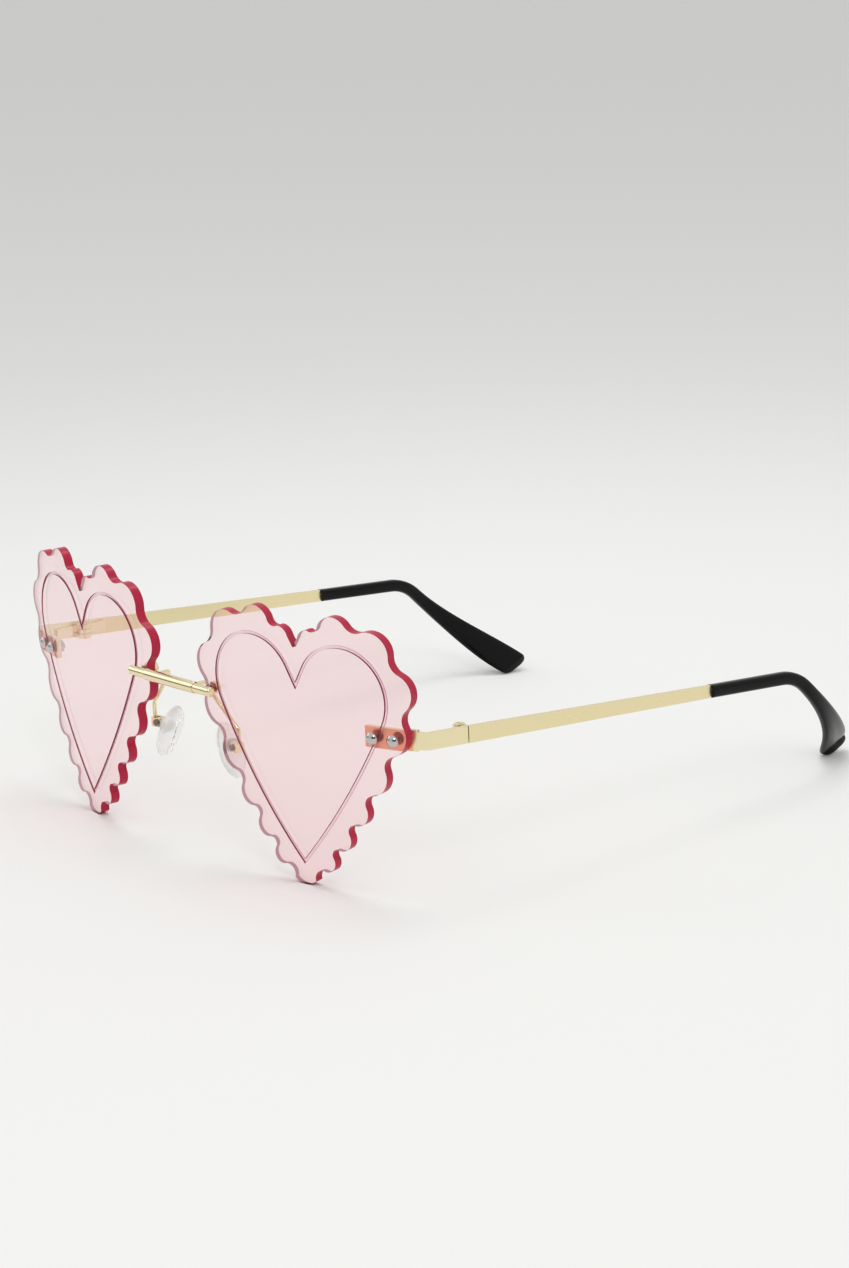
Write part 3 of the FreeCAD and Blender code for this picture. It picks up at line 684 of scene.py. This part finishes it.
# %% Paint bounced light on the endpieces
# Painted light: the salmon of light bounced between lens and metal, and the width over which it fades
# at the lens's edge.
PAINTED_BOUNCE_SALMON = (0.88, 0.44, 0.27)
FORWARDS_START = -0.88
FORWARDS_FULL = -0.94
PAINTED_LIGHT_FADE = 0.6 * MM
SCREW_BAND = 1.5 * MM


def lens_edge_at_screws():
    """How far out the left lens reaches at the level of its screws."""
    low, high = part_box("left_lug_screws")
    level = (low[2] + high[2]) / 2
    rows = [v.co.x for v in nodes["left_lens"].data.vertices if abs(v.co.z - level) < SCREW_BAND]
    return max(rows)


def paint_bounced_light(material, colour, edge):
    """Paint salmon bounced light on the faces of a metal that look straight at the back of a lens, out
    to its edge.
    """
    tree = material.node_tree
    place = add(tree, "ShaderNodeTexCoord")
    look = add(tree, "ShaderNodeSeparateXYZ")
    forwards = ramp(tree, FORWARDS_START, FORWARDS_FULL)
    spot = add(tree, "ShaderNodeSeparateXYZ")
    outwards = add(tree, "ShaderNodeMath", operation="ABSOLUTE")
    under = ramp(tree, edge, edge - PAINTED_LIGHT_FADE)
    both = add(tree, "ShaderNodeMath", operation="MULTIPLY")
    mix = two_tones(tree, CHAMPAGNE, colour)
    link = tree.links.new
    link(place.outputs["Normal"], look.inputs["Vector"])
    link(look.outputs["Y"], forwards.inputs["Value"])
    link(place.outputs["Object"], spot.inputs["Vector"])
    link(spot.outputs["X"], outwards.inputs[0])
    link(outwards.outputs["Value"], under.inputs["Value"])
    link(forwards.outputs["Result"], both.inputs[0])
    link(under.outputs["Result"], both.inputs[1])
    link(both.outputs["Value"], mix.inputs["Factor"])
    link(mix.outputs["Result"], tree.nodes["Principled BSDF"].inputs["Base Color"])


lens_edge = lens_edge_at_screws()
# The lens side of the endpieces gets painted bounced light in salmon.
paint_bounced_light(lens_side_gold, PAINTED_BOUNCE_SALMON, lens_edge)
print(lens_side_gold.name, "light_painted out to", round(lens_edge, 4))

# %% [markdown]
# ## Screws and nuts
# The domed lens screws are polished nickel, and so are the nuts behind. The tiny screws of the nose
# pads are darker steel. A plain grey would look like plastic, so both are metals with marks.

# %% Make the nickel and the steel
nickel = plated("polished_nickel", (0.56, 0.54, 0.52), 0.12, 0.04, 0.6 * MICRON)
steel = plated("dark_steel", (0.22, 0.21, 0.21), 0.3, 0.1, 1.0 * MICRON)
dress(nickel, *both_sides("lug_screws", "lug_nuts"))
dress(steel, *both_sides("pad_screw"))

# %% [markdown]
# ## Black tips
# The tips are moulded in glossy black plastic. Pure black would hide their shape, so the colour is
# a very dark grey, and the marks vary the gloss as handling does.

# %% Make the black plastic
BLACK = (0.003, 0.003, 0.0032)
BLACK_SHINE = 0.14
black, tree, shader = start_material("black_plastic")
shader.inputs["Base Color"].default_value = tone(BLACK)
shader.inputs["Specular IOR Level"].default_value = BLACK_SHINE
mark_surface(tree, shader, 0.16, 0.05, 0.8 * MICRON)
dress(black, *both_sides("temple_tip"))

# %% [markdown]
# ## Clear sleeves and pad cores
# A thin clear sleeve keeps each screw from touching the acrylic. The core inside each nose pad is a
# pale moulding that shows dimly through the silicone, so it gets a matt light grey.

# %% Make the sleeves and the cores
SLEEVE_IOR = 1.46
SLEEVE_STAIN = (0.96, 0.94, 0.94)
CORE_GREY = (0.80, 0.80, 0.79)
sleeve = clear_plastic("clear_plastic", (0.97, 0.97, 0.97), SLEEVE_IOR, 0.06, SLEEVE_STAIN)
dress(sleeve, *both_sides("lug_bushings", "bridge_bushing"))
core, tree, shader = start_material("pad_core_grey")
shader.inputs["Base Color"].default_value = tone(CORE_GREY)
mark_surface(tree, shader, 0.4, 0.1, 1.0 * MICRON)
dress(core, *both_sides("pad_core"))
